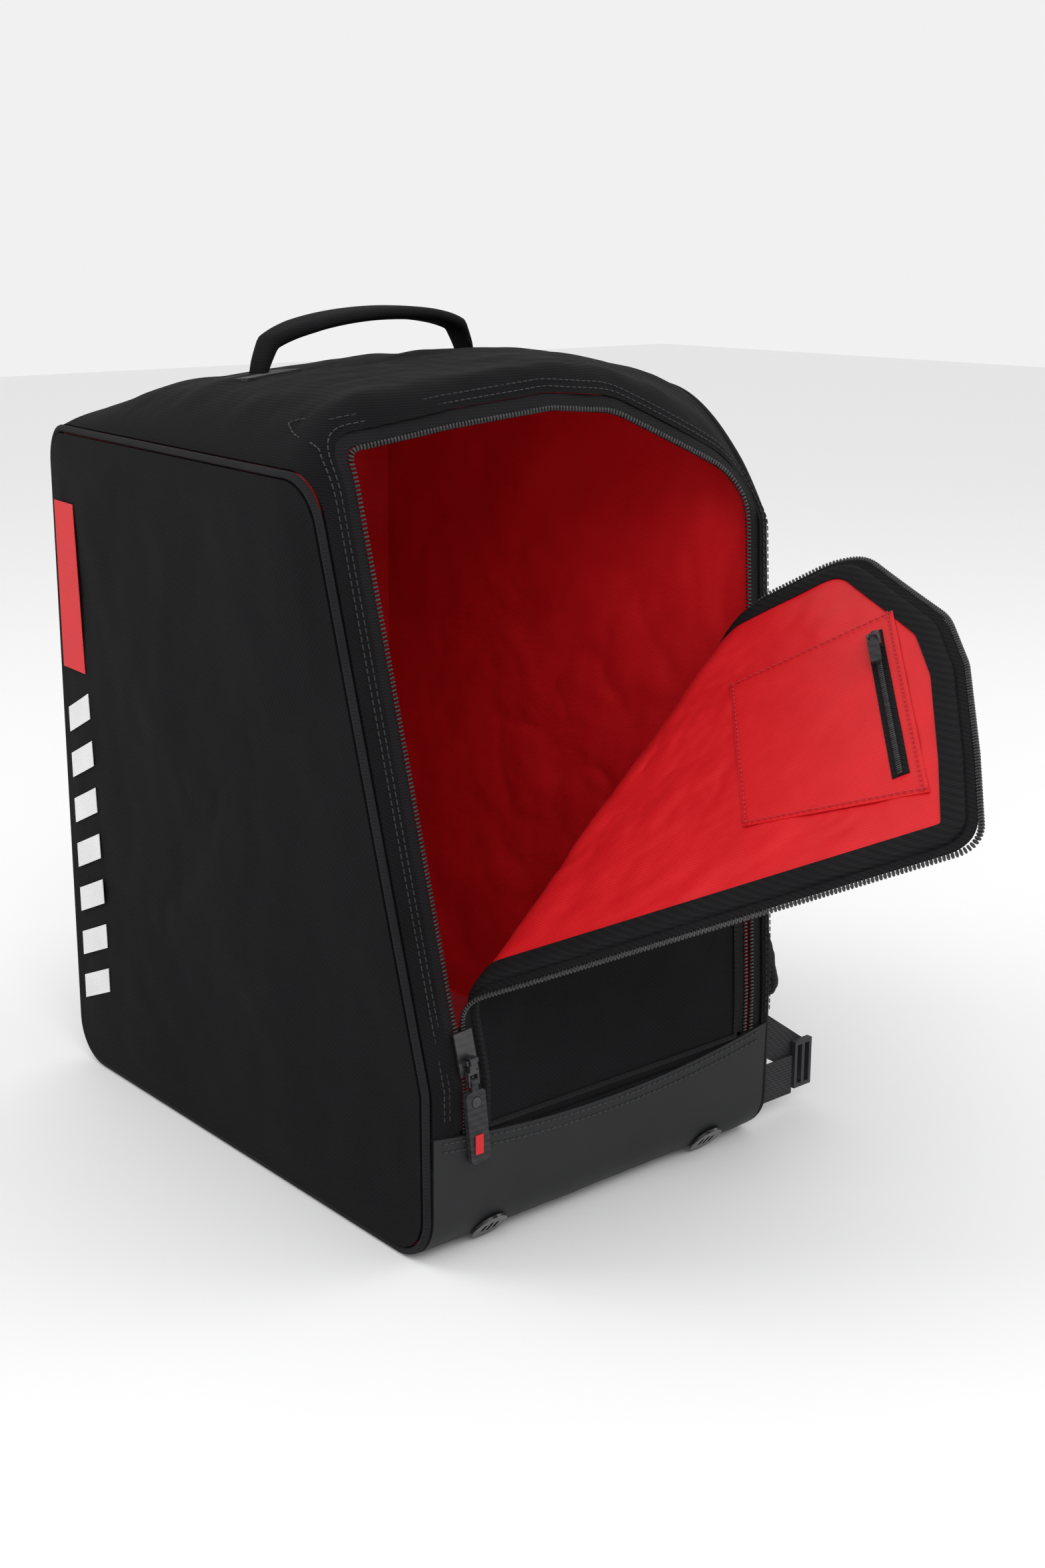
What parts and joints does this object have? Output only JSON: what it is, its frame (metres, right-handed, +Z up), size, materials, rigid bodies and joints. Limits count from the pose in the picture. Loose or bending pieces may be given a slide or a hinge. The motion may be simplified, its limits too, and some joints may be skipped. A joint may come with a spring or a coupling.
{
  "type": "ski boot bag",
  "caption": "Upright zip-front ski boot backpack bag with rubberised base, piped sides, folded-open front corner, carry handle and shoulder straps.",
  "frame": {"origin": "centre of the flat underside of the base panel", "axes": "+Z up, -Y towards the zipped front, -X the plain side panel, +X the back panel with the shoulder straps"},
  "size_m": [0.3464, 0.6011, 0.4878],
  "materials": {
    "woven_shell": "matt woven polyester twill",
    "rubberised_base": "satin coated tarpaulin",
    "piping": "matt woven",
    "padded_mesh": "matt knitted mesh over foam",
    "red_lining": "satin nylon",
    "binding": "ribbed tape",
    "zip_tape": "herringbone tape",
    "zip_coil": "satin nylon coil",
    "slider_metal": "satin black lacquer",
    "pull_rubber": "matt moulded",
    "rivet_metal": "gunmetal",
    "eyelet_plastic": "gloss moulded",
    "webbing": "ribbed webbing",
    "buckle_plastic": "satin moulded",
    "board": "fabric-covered board"
  },
  "bodies": {
    "bag": {"side_panel": "woven_shell", "back_panel": "woven_shell", "side_piping": "piping", "back_piping": "piping", "back_pad": "padded_mesh", "top_panel": "woven_shell", "rear_panel": "woven_shell", "front_strip_left": "woven_shell", "front_strip_right": "woven_shell", "base_panel": "rubberised_base", "base_board": "board", "lining": "red_lining", "zip_tape_bag": "zip_tape", "zip_coil_bag": "zip_coil", "drain_eyelet_left": "eyelet_plastic", "drain_eyelet_right": "eyelet_plastic", "handle_patch_left": "webbing", "handle_patch_right": "webbing", "strap_anchor_front": "webbing", "strap_anchor_rear": "webbing", "strap_tab_front": "webbing", "strap_tab_rear": "webbing"},
    "front_panel": {"front_panel_lower": "woven_shell", "front_binding_lower": "binding", "front_lining_lower": "red_lining", "zip_tape_lower_left": "zip_tape", "zip_tape_lower_right": "zip_tape", "zip_coil_lower_left": "zip_coil", "zip_coil_lower_right": "zip_coil"},
    "front_corner": {"front_panel_corner": "woven_shell", "front_binding_corner": "binding", "front_lining_corner": "red_lining", "zip_tape_corner": "zip_tape", "zip_coil_corner": "zip_coil", "pocket_panel": "red_lining", "pocket_zip_tape": "zip_tape", "pocket_zip_coil": "zip_coil"},
    "left_slider": {"left_slider": "slider_metal"},
    "left_link": {"left_link": "slider_metal"},
    "left_pull": {"left_pull": "pull_rubber", "left_rivet": "rivet_metal"},
    "right_slider": {"right_slider": "slider_metal"},
    "right_link": {"right_link": "slider_metal"},
    "right_pull": {"right_pull": "pull_rubber", "right_rivet": "rivet_metal"},
    "pocket_slider": {"pocket_slider": "slider_metal"},
    "pocket_pull": {"pocket_pull": "pull_rubber"},
    "carry_handle": {"carry_handle": "woven_shell"},
    "strap_front": {"shoulder_strap_front": "padded_mesh", "ladder_lock_front": "buckle_plastic", "strap_web_front": "webbing"},
    "strap_rear": {"shoulder_strap_rear": "padded_mesh", "ladder_lock_rear": "buckle_plastic", "strap_web_rear": "webbing"}
  },
  "joints": [
    {"name": "front_fold", "type": "hinge", "parent": "bag", "child": "front_panel", "pos_m": [0, -0.1903, 0.0705], "axis": [1, 0, 0], "range_deg": [0, 90]},
    {"name": "corner_fold", "type": "hinge", "parent": "front_panel", "child": "front_corner", "pos_m": [-0.02522, -0.17624, 0.20083], "axis": [-0.7896, -0.086, -0.6076], "range_deg": [-30, 94]},
    {"name": "left_slide", "type": "slide", "parent": "front_panel", "child": "left_slider", "axis": [-0.093, 0.1395, 0.9858], "range_m": [-0.005, 0.008]},
    {"name": "left_link_swing", "type": "hinge", "parent": "left_slider", "child": "left_link", "pos_m": [-0.10163, -0.1932, 0.11377], "axis": [-0.9957, -0.013, -0.0921], "range_deg": [0, 90]},
    {"name": "left_pull_swing", "type": "hinge", "parent": "left_link", "child": "left_pull", "pos_m": [-0.10048, -0.1932, 0.10132], "axis": [-0.9957, -0.013, -0.0921], "range_deg": [0, 70]},
    {"name": "right_slide", "type": "slide", "parent": "front_panel", "child": "right_slider", "axis": [0.093, 0.1395, 0.9858], "range_m": [-0.18, 0.01]},
    {"name": "right_link_swing", "type": "hinge", "parent": "right_slider", "child": "right_link", "pos_m": [0.12914, -0.16844, 0.28877], "axis": [-0.9957, 0.013, 0.0921], "range_deg": [0, 105]},
    {"name": "right_pull_swing", "type": "hinge", "parent": "right_link", "child": "right_pull", "pos_m": [0.12798, -0.17018, 0.27645], "axis": [-0.9957, 0.013, 0.0921], "range_deg": [0, 70]},
    {"name": "pocket_slide", "type": "slide", "parent": "front_corner", "child": "pocket_slider", "axis": [0.5972, 0.6787, 0.4274], "range_m": [-0.1, 0]},
    {"name": "pocket_pull_swing", "type": "hinge", "parent": "pocket_slider", "child": "pocket_pull", "pos_m": [0.10663, -0.27365, 0.32464], "axis": [-0.5183, 0.7332, -0.4401], "range_deg": [0, 150]},
    {"name": "handle_swing", "type": "hinge", "parent": "bag", "child": "carry_handle", "pos_m": [0, 0.03, 0.4635], "axis": [0.9988, 0, 0.048], "range_deg": [-30, 30]},
    {"name": "strap_front_swing", "type": "hinge", "parent": "bag", "child": "strap_front", "pos_m": [0.16135, -0.02818, 0.37171], "axis": [0, -0.9201, 0.3916], "range_deg": [0, 60]},
    {"name": "strap_rear_swing", "type": "hinge", "parent": "bag", "child": "strap_rear", "pos_m": [0.15329, 0.0699, 0.37182], "axis": [0, -0.9609, -0.277], "range_deg": [0, 60]}
  ],
  "couplings": [
    {"joint": "left_link_swing", "follows": "front_fold", "ratio": 1}
  ]
}
